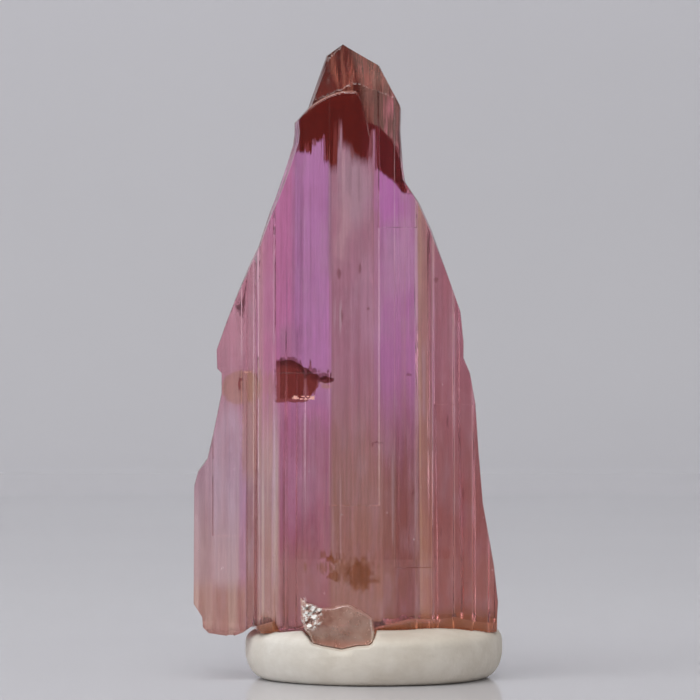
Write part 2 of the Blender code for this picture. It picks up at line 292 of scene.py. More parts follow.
def crystalColumns(z, leftFlank, rightFlank):
    # one row of x values for each height: edge, flank, lined face, flank, edge
    form = crystalForm
    left = along(form["leftEdge"], z)
    right = along(form["rightEdge"], z)
    inset = form["edgeInset"] * edgeShare(z)
    largest = 0.3 * (right - left)
    first = left + np.minimum(along(leftFlank, z), largest)
    last = right - np.minimum(along(rightFlank, z), largest)
    fixed = np.linspace(*form["faceSpan"], form["columns"])
    lined = np.clip(fixed[None, :], first[:, None], last[:, None])
    share = np.linspace(0.0, 1.0, form["flankColumns"])[None, :]
    steps = np.array(form["flankSteps"])[None, :]
    leftPart = (left + inset)[:, None] + (share + steps) * (first - left - inset)[:, None]
    rightPart = last[:, None] + (share - steps[:, ::-1]) * (right - inset - last)[:, None]
    parts = [left[:, None], leftPart, lined[:, 1:-1], rightPart, right[:, None]]
    return np.concatenate(parts, axis=1), first, last


def crystalFace(heights, side):
    # rows of points across the front or the back; the flanks are straight from edge to face
    # with a few shallow steps along them
    form = crystalForm
    x, first, last = crystalColumns(heights, *form[side]["flanks"])
    lip = along(form["footLip"], x)
    z = np.where(heights[:, None] < lip + 0.05, lip, heights[:, None])
    inner = np.clip(x, first[:, None], last[:, None])
    thick = facedDepth(inner, z, side)
    narrow = (form["edgeHalf"] * edgeShare(heights))[:, None] * np.ones_like(x)
    thick = np.maximum(thick, narrow)
    count = form["flankColumns"]
    share = np.linspace(0.0, 1.0, count)[None, :]
    bent = smoothNoise(share * 3.0, heights[:, None] * 0.5, form[side]["seed"] + 3)
    steps = 0.04 * np.sin(share * 17.0 + 2.0 * bent) * share * (1.0 - share) * 4.0
    leftThick = narrow[:, :count] * (1.0 - share) + thick[:, 1:count + 1] * share
    thick[:, 1:count + 1] = leftThick + steps
    back = share[:, ::-1]
    rightThick = narrow[:, :count] * (1.0 - back) + thick[:, -count - 1:-1] * back
    thick[:, -count - 1:-1] = rightThick + steps[:, ::-1]
    thick[:, [0, -1]] = 0.0
    return np.stack([x, form[side]["way"] * thick, z], axis=2)


def underside(x, across, lip):
    # height under the crystal; across runs from 0 at the front lip to 1 at the back lip. The
    # surface hangs a little lower behind the lip, and a peg reaches down into the tack
    firstX, lastX, bottom = crystalForm["peg"]
    ends = np.clip(np.minimum(x - firstX, lastX - x) / 0.35, 0.0, 1.0)
    sides = np.clip(np.minimum(across - 0.1, 0.9 - across) / 0.06, 0.0, 1.0)
    inward = np.clip(np.minimum(across, 1.0 - across) / 0.08, 0.0, 1.0)
    hang = np.clip(lip - 2.4, 0.0, 1.0) * inward * np.clip((x + 4.9) / 0.6, 0.0, 1.0)
    lowered = lip - hang
    return lowered + (bottom - lowered) * ends * sides


def brokenFoot(front, back):
    # rows from the front lip to the back lip, with small flakes where the break is open
    form = crystalForm
    share = np.linspace(0.0, 1.0, form["footRows"])[1:-1, None, None]
    rows = front[None] + (back - front)[None] * share
    x, y, z = rows[:, :, 0], rows[:, :, 1], rows[:, :, 2]
    across = share[:, :, 0]
    inward = np.clip(np.minimum(across, 1.0 - across) / 0.08, 0.0, 1.0)
    edge = np.minimum(np.arange(x.shape[1]), np.arange(x.shape[1])[::-1])[None, :]
    inner = (edge > form["flankColumns"] + 1) & (x < -3.6)
    flakes = 0.1 * np.abs(smoothNoise(x * 1.2, y * 1.2, 5)) * inward * inner
    rows[:, :, 2] = underside(x, across, z) + flakes
    return rows


def rowHeights():
    # coarse rows below, finer ones in the head, and the bends of both edges
    form = crystalForm
    bends = [height for height, _ in form["leftEdge"] + form["rightEdge"]]
    evenRows = [np.arange(*span) for span in form["rowSpans"]]
    ledges = [height + gap for _, _, height, _ in form["front"]["ledges"] for gap in (0.0, 0.03)]
    heights = np.unique(np.round(np.concatenate([bends, ledges] + evenRows), 3))
    near = np.diff(heights, prepend=-1.0) < 0.02
    return heights[~near | np.isin(heights, np.round(bends + ledges, 3))]


def makeCrystal():
    heights = rowHeights()
    front = crystalFace(heights, "front")
    back = crystalFace(heights, "back")
    foot = brokenFoot(front[0], back[0])
    rows = np.concatenate([front[::-1], foot, back])
    # the underside mark: 1 under the foot and up to 0.6 just above its lip, where the material
    # paints shade
    above = rows[:, :, 2] - along(crystalForm["footLip"], rows[:, :, 0])
    reach = np.interp(rows[:, :, 0], [4.2, 5.4], [0.4, 1.0])
    under = 0.6 * np.clip(1.0 - above / reach, 0.0, 1.0)
    under[len(front):len(front) + len(foot)] = 1.0
    crystal = gridMesh("tanzaniteCrystal", rows, {"underside": under})
    crystal.data.shade_flat()
    print("crystal: ", len(crystal.data.polygons), "triangles")
    return crystal


# Node tools for the looks

class NodeTools:
    # a short way to add and join shader nodes; x, y and z are places in the given unit
    def __init__(self, tree, coordinates, unit):
        self.tree = tree
        scale = self.add("VectorMath")
        scale.operation = "SCALE"
        source = self.add("TexCoord").outputs[coordinates]
        self.place = self.fill(scale, {0: source, "Scale": 1.0 / unit})
        split = self.add("SeparateXYZ")
        self.feed(split.inputs[0], self.place)
        self.x, self.y, self.z = split.outputs

    def add(self, kind):
        return self.tree.nodes.new("ShaderNode" + kind)

    def feed(self, socket, value):
        # joins a node's result to a socket, or sets a number, a colour or a tint there
        if isinstance(value, bpy.types.NodeSocket):
            self.tree.links.new(value, socket)
        elif socket.type == "RGBA":
            socket.default_value = (*tints.get(value, value), 1.0)
        else:
            socket.default_value = value

    def fill(self, node, values, result=0):
        # feeds several sockets of a node and gives its result
        for socket, value in values.items():
            self.feed(node.inputs[socket], value)
        return node.outputs[result]

    def math(self, operation, first, second=0.0, third=0.0, clamp=False):
        node = self.add("Math")
        node.operation = operation
        node.use_clamp = clamp
        return self.fill(node, {0: first, 1: second, 2: third})

    def times(self, first, *others):
        for other in others:
            first = self.math("MULTIPLY", first, other)
        return first

    def minus(self, first, second):
        return self.math("SUBTRACT", first, second)

    def span(self, value, low, high, toLow=0.0, toHigh=1.0, smooth=True):
        # soft step from toLow to toHigh as value goes from low to high
        node = self.add("MapRange")
        node.interpolation_type = "SMOOTHSTEP" if smooth else "LINEAR"
        ends = {"From Min": low, "From Max": high, "To Min": toLow, "To Max": toHigh}
        return self.fill(node, {"Value": value, **ends})

    def band(self, value, low, high, soft):
        # 1 between low and high, falling to 0 over soft
        rise = self.span(value, low - soft, low + soft)
        fall = self.span(value, high - soft, high + soft, 1.0, 0.0)
        return self.times(rise, fall)

    def noise(self, stretch, scale=1.0, detail=3.0, roughness=0.55, shift=0.0):
        # noise stretched by (x, y, z) factors, about 0.2 to 0.8
        location = (shift, 0.7 * shift, 1.3 * shift)
        placed = {"Vector": self.place, "Scale": stretch, "Location": location}
        vector = self.fill(self.add("Mapping"), placed)
        kind = {"Scale": scale, "Detail": detail, "Roughness": roughness}
        return self.fill(self.add("TexNoise"), {"Vector": vector, **kind})

    def mix(self, share, first, second, blend="MIX"):
        node = self.add("Mix")
        node.data_type = "RGBA"
        node.blend_type = blend
        return self.fill(node, {0: share, 6: first, 7: second}, 2)

    def mixNumber(self, share, first, second):
        return self.fill(self.add("Mix"), {0: share, 2: first, 3: second})

    def grey(self, value):
        return self.fill(self.add("CombineColor"), {0: value, 1: value, 2: value})

    def mark(self, name):
        # one of the numbers that gridMesh gave to the points
        node = self.add("Attribute")
        node.attribute_name = name
        return node.outputs["Fac"]

    def curve(self, value, points):
        # straight lines through (value, result) points
        places, results = zip(*points)
        low, high = min(results), max(results)
        node = self.add("FloatCurve")
        line = node.mapping.curves[0]
        for _ in points[1:-1]:
            line.points.new(0.5, 0.5)
        for point, place, result in zip(line.points, places, results):
            share = (place - places[0]) / (places[-1] - places[0])
            point.location = (share, (result - low) / (high - low))
            point.handle_type = "VECTOR"
        node.mapping.update()
        share = self.span(value, places[0], places[-1], smooth=False)
        return self.span(self.fill(node, {"Value": share}), 0.0, 1.0, low, high, smooth=False)

    def bump(self, height, strength, distance):
        values = {"Height": height, "Strength": strength, "Distance": distance}
        return self.fill(self.add("Bump"), values)


class MaterialNodes(NodeTools):
    # a new material, with places in millimetres
    def __init__(self, name):
        self.material = bpy.data.materials.new(name)
        self.material.use_nodes = True
        super().__init__(self.material.node_tree, "Object", mm)
        self.shader = self.tree.nodes["Principled BSDF"]
        self.output = self.tree.nodes["Material Output"]

    def surface(self, name, value):
        self.feed(self.shader.inputs[name], value)


tints = {
    "edgeRose": (0.97, 0.48, 0.58),
    "rose": (1.0, 0.35, 0.66),
    "violet": (0.9, 0.39, 0.77),
    "greyLilac": (0.71, 0.335, 0.43),
    "magenta": (0.8, 0.32, 0.64),
    "olive": (0.8, 0.45, 0.34),
    "lowOlive": (0.82, 0.48, 0.33),
    "mauve": (0.64, 0.25, 0.3),
    "lobeEdge": (0.83, 0.57, 0.64),
    "paleLilac": (1.0, 0.77, 0.9),
    "lobeViolet": (0.95, 0.51, 0.86),
    "groove": (0.52, 0.24, 0.24),
    "paleRidge": (1.0, 0.77, 0.71),
    "mauveBrown": (0.6, 0.215, 0.31),
    "greyBrown": (0.6, 0.3, 0.25),
    "redBrown": (0.42, 0.15, 0.135),
    "lowMauve": (0.54, 0.19, 0.18),
    "lowWarm": (1.0, 0.93, 0.79),
    "cloudLilac": (0.97, 0.6, 0.82),
    "cloudGrey": (0.84, 0.58, 0.66),
    "cloudPink": (0.98, 0.6, 0.64),
    "duskPurple": (0.62, 0.25, 0.46),
    "duskGrey": (0.5, 0.28, 0.32),
    "duskRose": (0.66, 0.3, 0.34),
    "brightMagenta": (0.98, 0.32, 0.86),
    "lobeBrown": (0.72, 0.39, 0.37),
    "lobePale": (0.94, 0.66, 0.6),
    "footShadeRed": (0.39, 0.105, 0.025),
    "footSalmon": (0.7, 0.33, 0.28),
    "footRose": (0.6, 0.26, 0.23),
    "lipPink": (0.56, 0.2, 0.13),
    "headBrown": (0.145, 0.017, 0.01),
    "headPale": (0.41, 0.115, 0.075),
    "headOlive": (0.3, 0.155, 0.12),
    "headRose": (0.51, 0.195, 0.16),
    "headPink": (0.98, 0.36, 0.4),
    "paintedReflectionRed": (0.2, 0.012, 0.006),
    "deepPlum": (0.2, 0.013, 0.015),
    "arcHighlight": (0.72, 0.4, 0.32),
    "windowRed": (0.34, 0.05, 0.04),
    "windowDark": (0.13, 0.012, 0.014),
    "lensTan": (0.8, 0.43, 0.3),
    "grooveTan": (0.78, 0.42, 0.31),
    "ironStain": (0.34, 0.08, 0.006),
    "pinkGlint": (0.98, 0.52, 0.44),
    "speck": (0.25, 0.06, 0.06),
    "sparkle": (0.95, 0.78, 0.8),
    "lumpBrown": (0.42, 0.2, 0.145),
    "lumpGrey": (0.68, 0.43, 0.35),
    "lumpPale": (0.8, 0.58, 0.49),
    "lumpSalmon": (0.72, 0.33, 0.27),
    "lumpSparkle": (0.82, 0.8, 0.76),
    "tackShade": (0.68, 0.64, 0.57),
    "tackWhite": (0.78, 0.75, 0.69),
    "tackRightShade": (0.95, 0.91, 0.86),
    "paperShade": (0.629, 0.624, 0.655),
    "paperPale": (0.639, 0.634, 0.665),
}

# bands of colour across the face: (x where it starts, half width of the change, tint)
upperBands = [
    (-4.23, 0.12, "rose"), (-2.85, 0.1, "violet"), (-0.88, 0.06, "greyLilac"),
    (1.45, 0.12, "magenta"), (3.42, 0.16, "olive"), (4.05, 0.2, "mauve"),
]
lowerBands = [
    (-6.9, 0.15, "paleLilac"), (-5.55, 0.08, "lobeViolet"), (-5.22, 0.06, "groove"),
    (-4.5, 0.06, "paleRidge"), (-3.52, 0.06, "mauveBrown"), (-0.9, 0.15, "greyBrown"),
    (2.2, 0.35, "redBrown"), (3.55, 0.14, "lowOlive"), (4.05, 0.16, "lowMauve"),
]
# soft clouds inside, as (x, height, half width, half height, tint, share)
clouds = [
    (2.57, 20.9, 0.75, 1.9, "cloudLilac", 0.55), (0.45, 24.6, 0.85, 2.1, "cloudGrey", 0.6),
    (-0.1, 22.3, 0.3, 1.6, "cloudPink", 0.5), (1.2, 18.6, 0.7, 2.2, "cloudLilac", 0.3),
    (-2.4, 9.8, 0.9, 1.7, "cloudLilac", 0.22), (-2.8, 16.8, 0.95, 0.95, "duskPurple", 0.45),
    (-1.7, 13.3, 0.9, 0.5, "rose", 0.4), (2.15, 24.1, 0.75, 1.3, "brightMagenta", 0.6),
    (-2.9, 9.6, 0.6, 3.0, "rose", 0.28), (-2.4, 4.4, 1.3, 2.2, "footRose", 0.8),
    (-6.0, 12.2, 0.6, 1.5, "paleLilac", 0.6), (-1.9, 11.8, 0.9, 1.1, "duskRose", 0.3),
]
# single streaks, as (x, half width, low end, high end, tint, share); those in the sparkle tint
# are painted highlight lines
streaks = [
    (-0.34, 0.045, 6.1, 10.2, "sparkle", 0.6), (2.17, 0.04, 7.0, 11.2, "sparkle", 0.6),
    (-0.39, 0.055, 17.4, 18.7, "sparkle", 0.9), (3.78, 0.06, 13.0, 16.6, "sparkle", 0.6),
    (-2.8, 0.06, 17.5, 24.0, "duskPurple", 0.6), (-2.33, 0.09, 17.0, 24.5, "duskPurple", 0.6),
    (-0.93, 0.1, 20.0, 25.6, "duskGrey", 0.55), (1.36, 0.14, 17.5, 25.4, "duskRose", 0.6),
    (-0.22, 0.055, 21.0, 26.4, "cloudPink", 0.7), (-0.37, 0.06, 26.2, 27.4, "cloudGrey", 0.9),
    (0.15, 0.05, 24.0, 26.6, "duskGrey", 0.6), (0.52, 0.05, 23.5, 25.7, "duskGrey", 0.5),
    (5.35, 0.11, 13.0, 18.0, "cloudPink", 0.35), (-6.35, 0.12, 3.5, 12.0, "cloudPink", 0.35),
    (-5.95, 0.07, 3.0, 7.5, "groove", 0.3),
]
# brown stains in the lower middle, as (x, height, half width, half height)
stains = [(0.62, 5.25, 0.66, 0.72), (-0.72, 6.02, 0.34, 0.14), (-0.76, 5.32, 0.36, 0.2)]
# small dark specks near the front, as (x, height, half width, half height)
specks = [
    (3.01, 15.19, 0.16, 0.09), (4.93, 12.9, 0.05, 0.32), (1.48, 11.88, 0.28, 0.04),
    (1.22, 11.76, 0.04, 0.12), (3.21, 9.37, 0.07, 0.07), (4.29, 6.21, 0.06, 0.06),
    (5.7, 9.3, 0.05, 0.3), (-0.44, 20.2, 0.1, 0.26), (0.6, 20.45, 0.06, 0.24),
    (1.0, 18.46, 0.09, 0.07), (4.37, 19.9, 0.11, 0.12), (-0.3, 18.1, 0.05, 0.34),
    (5.86, 4.9, 0.1, 0.04), (4.6, 7.4, 0.04, 0.2),
]
# lowest reach of the painted dark red reflection under the head, as (x, height)
darkFringe = [
    (-2.4, 26.2), (-1.8, 26.12), (-1.76, 26.7), (-1.62, 26.72), (-1.56, 26.6), (-1.14, 27.0),
    (-1.08, 25.7), (-0.96, 25.5), (-0.9, 25.1), (-0.54, 25.0), (-0.47, 27.4), (-0.28, 27.35),
    (-0.22, 26.2), (-0.04, 26.3), (0.02, 26.3), (0.24, 26.1), (0.32, 25.7), (0.66, 25.4),
    (1.0, 25.5), (1.06, 26.6), (1.14, 27.2), (1.4, 27.3),
]
# upper and lower edge of the dark wedge beside it
wedgeUpper = [
    (0.8, 20.0), (0.95, 27.7), (1.45, 27.55), (2.08, 26.98), (2.37, 26.41), (2.65, 25.64),
    (2.8, 24.6), (2.95, 24.2),
]
wedgeLower = [(1.45, 25.3), (2.15, 24.8), (2.74, 24.1)]
# a flat crack inside, whose dark red reflection is painted as a window, and what shows beside it
window = {
    "sides": (-3.64, -1.45),
    "top": 15.95,
    "bottom": 13.8,
    # as (x, height, half width, half height)
    "darkBit": (-1.1, 14.95, 0.38, 0.17),
    "tanBit": (-1.08, 14.62, 0.26, 0.12),
    "lens": (-5.45, 14.55, 1.05, 0.84),
    "lensSlot": (-5.55, 14.75, 0.07, 0.34),
    # as (first x, last x, low end, high end)
    "groove": (-5.42, -4.62, 10.0, 14.6),
    "glint": (-2.78, -1.62, 13.98, 14.16),
    "lensGlint": (-5.4, -5.0, 15.3, 15.34),
}


def bandColours(nodes, colour, bands, x):
    for start, soft, name in bands:
        colour = nodes.mix(nodes.span(x, start - soft, start + soft), colour, name)
    return colour


def ellipse(nodes, x, z, spot, soft=0.25):
    # 1 inside an upright ellipse (x, height, half width, half height), 0 just outside it
    middleX, middleZ, halfX, halfZ = spot
    acrossX = nodes.math("DIVIDE", nodes.minus(x, middleX), halfX)
    acrossZ = nodes.math("DIVIDE", nodes.minus(z, middleZ), halfZ)
    square = nodes.math("ADD", nodes.times(acrossX, acrossX), nodes.times(acrossZ, acrossZ))
    return nodes.span(square, 1.0 - soft, 1.0 + soft, 1.0, 0.0)


def patch(nodes, x, z, box, softX, softZ):
    # 1 inside an upright box (first x, last x, low end, high end), 0 just outside it
    firstX, lastX, low, high = box
    return nodes.times(nodes.band(x, firstX, lastX, softX), nodes.band(z, low, high, softZ))


def frontSide(nodes):
    # 1 on the front half, 0 on the back half
    return nodes.span(nodes.y, 0.3, -0.3)


def headColours(nodes, colour, x, z):
    # the head above the arched crack, the painted dark red reflection under it, the wedge beside
    # it and a painted highlight along the crack
    fine = nodes.noise((9.0, 1.0, 0.55), 1.0, 4.0, 0.65, 2.0)
    jag = nodes.times(nodes.minus(fine, 0.5), 0.9)
    fringe = nodes.math("ADD", nodes.curve(x, darkFringe), jag)
    bend = nodes.math("POWER", nodes.minus(x, arch["middle"]), 2.0)
    drop = nodes.math("MAXIMUM", nodes.minus(x, arch["dropFrom"]), 0.0)
    drop = nodes.times(nodes.math("POWER", drop, 2.0), arch["drop"])
    arc = nodes.minus(arch["top"], nodes.math("MULTIPLY_ADD", bend, arch["bend"], drop))
    headEdge = nodes.math("MAXIMUM", arc, nodes.curve(x, wedgeUpper))
    wedgeLow = nodes.math("ADD", nodes.curve(x, wedgeLower), nodes.times(jag, 0.3))
    darkEdge = nodes.mixNumber(nodes.span(x, 1.38, 1.46), fringe, wedgeLow)
    fade = nodes.span(nodes.math("ABSOLUTE", x), 0.9, 1.1, 0.6, 0.14)
    # painted reflection: dark red from the ragged fringe up to the crack, and the dark wedge
    # beside it in the same mask
    dark = nodes.math("DIVIDE", nodes.minus(z, darkEdge), fade, clamp=True)
    dark = nodes.times(dark, nodes.span(x, -2.5, -2.35))
    deep = nodes.mix(nodes.span(x, 0.4, 1.3), "paintedReflectionRed", "deepPlum")
    colour = nodes.mix(dark, colour, deep)

    streak = nodes.span(nodes.noise((3.6, 0.1, 0.3), 1.0, 4.0, 0.72, 7.0), 0.42, 0.6)
    head = nodes.mix(streak, "headBrown", "headPale")
    edgeDark = nodes.span(nodes.math("MULTIPLY_ADD", z, 0.42, x), 12.05, 11.75)
    head = nodes.mix(edgeDark, head, "headBrown")
    olive = nodes.span(nodes.math("MULTIPLY_ADD", z, 0.25, x), 7.8, 8.3)
    head = nodes.mix(olive, head, nodes.mix(streak, "headOlive", "headRose"))
    pink = nodes.times(nodes.span(x, 1.6, 2.0), nodes.span(z, 29.3, 28.6))
    head = nodes.mix(pink, head, nodes.mix(streak, "headOlive", "headPink"))
    above = nodes.span(nodes.minus(z, headEdge), -0.02, 0.03)
    colour = nodes.mix(above, colour, head)
    # painted highlight: a pale line along the crack where its ledge catches the light from above
    fromArch = nodes.math("ABSOLUTE", nodes.minus(z, arc))
    line = nodes.times(nodes.span(fromArch, 0.02, 0.07, 1.0, 0.0), nodes.span(x, 0.6, 0.3))
    return nodes.mix(nodes.times(line, 0.75), colour, "arcHighlight")


def windowColours(nodes, colour, x, z):
    # the crack's painted dark red reflection as a window with ragged edges, the tan lens and
    # groove beside it and the glints on both
    ragged = nodes.noise((2.0, 1.0, 5.0), 1.0, 4.0, 0.7, 3.0)
    shake = nodes.times(nodes.minus(ragged, 0.5), 0.36)
    x = nodes.math("ADD", x, nodes.times(shake, 0.8))
    z = nodes.math("ADD", z, shake)
    top = nodes.minus(window["top"], nodes.times(nodes.span(x, -3.0, -1.3), 0.75))
    bottom = nodes.math("ADD", window["bottom"], nodes.times(nodes.span(x, -2.2, -1.3), 0.85))
    upright = nodes.times(nodes.span(nodes.minus(top, z), 0.0, 0.06),
                          nodes.span(nodes.minus(z, bottom), 0.0, 0.06))
    # painted reflection: the crack's dark red fills the window, darkest along its top
    inside = nodes.times(nodes.band(x, *window["sides"], 0.05), upright)
    colour = nodes.mix(inside, colour, "windowRed")
    darkTop = nodes.times(inside, nodes.span(nodes.minus(top, z), 0.55, 0.15))
    colour = nodes.mix(darkTop, colour, "windowDark")
    colour = nodes.mix(ellipse(nodes, x, z, window["darkBit"]), colour, "windowDark")
    colour = nodes.mix(ellipse(nodes, x, z, window["tanBit"]), colour, "lensTan")
    lens = nodes.times(ellipse(nodes, x, z, window["lens"], 0.15), 0.95)
    colour = nodes.mix(lens, colour, "lensTan")
    groove = nodes.times(patch(nodes, x, z, window["groove"], 0.08, 0.8), 0.8)
    colour = nodes.mix(groove, colour, "grooveTan")
    colour = nodes.mix(ellipse(nodes, x, z, window["lensSlot"]), colour, "windowRed")
    glint = patch(nodes, x, z, window["glint"], 0.04, 0.02)
    lensGlint = patch(nodes, x, z, window["lensGlint"], 0.04, 0.02)
    broken = nodes.span(nodes.noise((8.0, 1.0, 10.0), 1.0, 2.0, 0.5, 19.0), 0.4, 0.52)
    glint = nodes.times(nodes.math("MAXIMUM", glint, lensGlint), broken, frontSide(nodes))
    return nodes.mix(glint, colour, "pinkGlint"), glint


def bodyColours(nodes, x, z, streak):
    # rose, violet and grey bands above, lilac and brown ones below, that change along streaks
    upper = bandColours(nodes, "edgeRose", upperBands, x)
    lower = bandColours(nodes, "lobeEdge", lowerBands, x)
    level = nodes.math("MULTIPLY_ADD", nodes.minus(streak, 0.5), 6.0, z)
    colour = nodes.mix(nodes.span(level, 16.5, 9.5), upper, lower)
    lobeFoot = nodes.times(nodes.span(x, -5.1, -5.4), nodes.span(z, 5.2, 4.2))
    lobeStreak = nodes.span(nodes.noise((2.6, 1.0, 0.1), 1.0, 3.0, 0.6, 23.0), 0.42, 0.6)
    colour = nodes.mix(lobeFoot, colour, nodes.mix(lobeStreak, "lobeBrown", "lobePale"))
    warm = nodes.span(level, 10.5, 5.0)
    return nodes.mix(warm, colour, nodes.mix(1.0, colour, "lowWarm", "MULTIPLY"))


def cloudColours(nodes, colour, x, z):
    # pale clouds with soft edges, and an uneven mottling between them
    shake = nodes.minus(nodes.noise((1.4, 1.0, 0.7), 1.0, 4.0, 0.6, 12.0), 0.5)
    cloudX = nodes.math("MULTIPLY_ADD", shake, 1.6, x)
    cloudZ = nodes.math("MULTIPLY_ADD", shake, 3.0, z)
    for *spot, name, share in clouds:
        cloud = ellipse(nodes, cloudX, cloudZ, spot, 0.95)
        colour = nodes.mix(nodes.times(cloud, share), colour, name)
    mottle = nodes.span(nodes.noise((1.3, 1.0, 0.4), 1.0, 4.0, 0.6, 14.0), 0.46, 0.72, 0.0, 0.34)
    colour = nodes.mix(mottle, colour, "cloudGrey")
    dusk = nodes.span(nodes.noise((1.1, 1.0, 0.3), 1.0, 3.0, 0.6, 15.0), 0.48, 0.72, 0.0, 0.32)
    return nodes.mix(dusk, colour, "mauveBrown")


def singleStreaks(nodes, colour, x, z):
    for middle, half, low, high, name, share in streaks:
        box = (middle - half, middle + half, low, high)
        streak = patch(nodes, x, z, box, 0.6 * half, 0.5)
        colour = nodes.mix(nodes.times(streak, share), colour, name)
    return colour


def stainColours(nodes, colour, z):
    # brown stains in the lower middle and small dark specks near the front
    blot = nodes.noise((1.6, 1.0, 1.2), 1.6, 4.0, 0.65, 9.0)
    blotX = nodes.math("MULTIPLY_ADD", nodes.minus(blot, 0.5), 1.6, nodes.x)
    blotZ = nodes.math("MULTIPLY_ADD", nodes.minus(blot, 0.5), -1.4, z)
    for spot in stains:
        stain = ellipse(nodes, blotX, blotZ, spot, 0.4)
        colour = nodes.mix(nodes.times(stain, 0.92), colour, "ironStain")
    ragged = nodes.minus(nodes.noise((4.0, 1.0, 4.0), 1.0, 3.0, 0.6, 21.0), 0.5)
    speckX = nodes.math("MULTIPLY_ADD", ragged, 0.12, nodes.x)
    speckZ = nodes.math("MULTIPLY_ADD", ragged, 0.2, z)
    for spot in specks:
        speck = ellipse(nodes, speckX, speckZ, spot, 0.5)
        speck = nodes.times(speck, 0.7, frontSide(nodes))
        colour = nodes.mix(speck, colour, "speck")
    return colour


def footColours(nodes, colour, x):
    # painted shade: dark red under the broken foot and fading up just above its lip, with a pink
    # lip and a salmon edge round it. Also gives the lip
    share = nodes.mark("underside")
    right = nodes.band(x, 1.2, 4.7, 0.4)
    lip = nodes.times(nodes.span(share, 0.48, 0.58), right, frontSide(nodes))
    red = nodes.mix(nodes.span(x, -5.0, -4.6), "footSalmon", "footShadeRed")
    red = nodes.mix(nodes.times(lip, nodes.span(share, 0.9, 0.62)), red, "lipPink")
    return nodes.mix(nodes.span(share, 0.05, 0.75), colour, red), lip


def streakTones(nodes, colour):
    # narrow and broad streaks of lighter and darker tone
    for stretch, shift, low, high in (((8.0, 1.0, 0.12), 5.0, 0.87, 1.09),
                                      ((2.6, 1.0, 0.07), 6.0, 0.9, 1.08)):
        veil = nodes.noise(stretch, 1.0, 4.0, 0.65, shift)
        tone = nodes.span(veil, 0.32, 0.68, low, high, smooth=False)
        colour = nodes.mix(1.0, colour, nodes.grey(tone), "MULTIPLY")
    return colour


def crystalMaterial():
    nodes = MaterialNodes("tanzanite")
    streak = nodes.noise((5.0, 0.4, 0.1), 1.0, 4.0, 0.6)
    wander = nodes.times(nodes.minus(streak, 0.5), 0.35)
    # x is stretched towards the back, so that the bands of both faces meet as seen from the front
    fan = nodes.math("MULTIPLY_ADD", nodes.y, 0.03, 1.1)
    x = nodes.math("MULTIPLY_ADD", nodes.x, fan, wander)
    z = nodes.z
    colour = bodyColours(nodes, x, z, streak)
    colour = cloudColours(nodes, colour, x, z)
    colour = singleStreaks(nodes, colour, x, z)
    colour, glint = windowColours(nodes, colour, x, z)
    colour = headColours(nodes, colour, nodes.x, z)
    colour = stainColours(nodes, colour, z)
    colour, lip = footColours(nodes, colour, x)
    colour = streakTones(nodes, colour)
    # painted highlights: small pale sparkles on the front half, below the window
    sparkle = nodes.span(nodes.noise((6.5, 1.0, 5.0), 1.0, 2.0, 0.5, 17.0), 0.735, 0.78)
    sparkle = nodes.times(sparkle, nodes.span(z, 17.0, 14.0), frontSide(nodes))
    colour = nodes.mix(nodes.times(sparkle, 0.7), colour, "sparkle")
    nodes.surface("Base Color", colour)
    clear = nodes.span(nodes.math("MULTIPLY_ADD", nodes.x, -0.35, z), 28.2, 29.6, 0.9, 0.5)
    clear = nodes.mixNumber(glint, clear, 0.1)
    clear = nodes.mixNumber(sparkle, clear, 0.6)
    clear = nodes.mixNumber(lip, clear, 0.55)
    nodes.surface("Transmission Weight", clear)
    nodes.shader.inputs["IOR"].default_value = 1.69
    rough = nodes.span(nodes.noise((3.0, 3.0, 0.5), 1.5, 3.0, 0.6, 4.0), 0.35, 0.75, 0.03, 0.16)
    nodes.surface("Roughness", rough)
    absorb = nodes.add("VolumeAbsorption")
    absorb.inputs["Color"].default_value = crystalForm["absorption"]
    absorb.inputs["Density"].default_value = crystalForm["absorptionDensity"]
    nodes.feed(nodes.output.inputs["Volume"], absorb.outputs[0])
    return nodes.material


# The colourless lump grown onto the foot

lumpForm = {
    # outline seen from the front, as (x, height)
    "outline": [
        (-2.33, 4.24), (-2.02, 3.98), (-1.76, 3.93), (-1.36, 3.74), (-0.72, 3.78), (-0.24, 3.92),
        (0.08, 3.9), (0.47, 3.69), (0.9, 3.47), (1.22, 3.22), (1.29, 2.78), (1.31, 2.5),
        (1.27, 2.08), (1.05, 1.9), (0.48, 1.88), (-0.02, 1.78), (-0.3, 1.7), (-0.66, 1.78),
        (-1.16, 1.85), (-1.8, 2.0), (-1.9, 2.36), (-2.12, 2.72), (-2.3, 3.16),
    ],
    "middle": (-0.35, 2.85),
    "rim": -4.02,
    "front": -4.66,
    # rows behind the rim as (share of the outline, y); the last one closes the back
    "wall": [(1.0, -3.8), (0.98, -3.4), (0.94, -2.9), (0.0, -2.9)],
    # broken facets as (slope along x, slope up, depth at the middle)
    "facets": [
        (0.05, -0.06, -4.64), (0.16, 0.05, -4.7), (-0.05, 0.22, -4.66), (-0.12, -0.16, -4.68),
    ],
    # chipped places as (x, height, reach, slope along x, slope up, turn)
    "chips": [
        (-1.78, 3.72, 0.2, -0.62, 0.1, 0.4), (-1.6, 3.42, 0.22, -0.1, 0.56, 1.0),
        (-1.98, 3.94, 0.17, 0.1, 0.58, 0.2), (-1.9, 2.98, 0.22, -0.3, 0.52, 0.7),
        (-2.06, 3.5, 0.15, -0.64, 0.0, 1.2), (-1.45, 3.68, 0.14, 0.05, 0.6, 0.6),
        (-1.62, 3.12, 0.15, -0.62, 0.12, 0.3),
    ],
    "chipDepth": -4.45,
    # where the chips' sparkle is painted, as (x, height, half width, half height)
    "chipSparkle": (-1.8, 3.45, 0.55, 0.75),
    "sides": 180,
    "rings": 64,
}


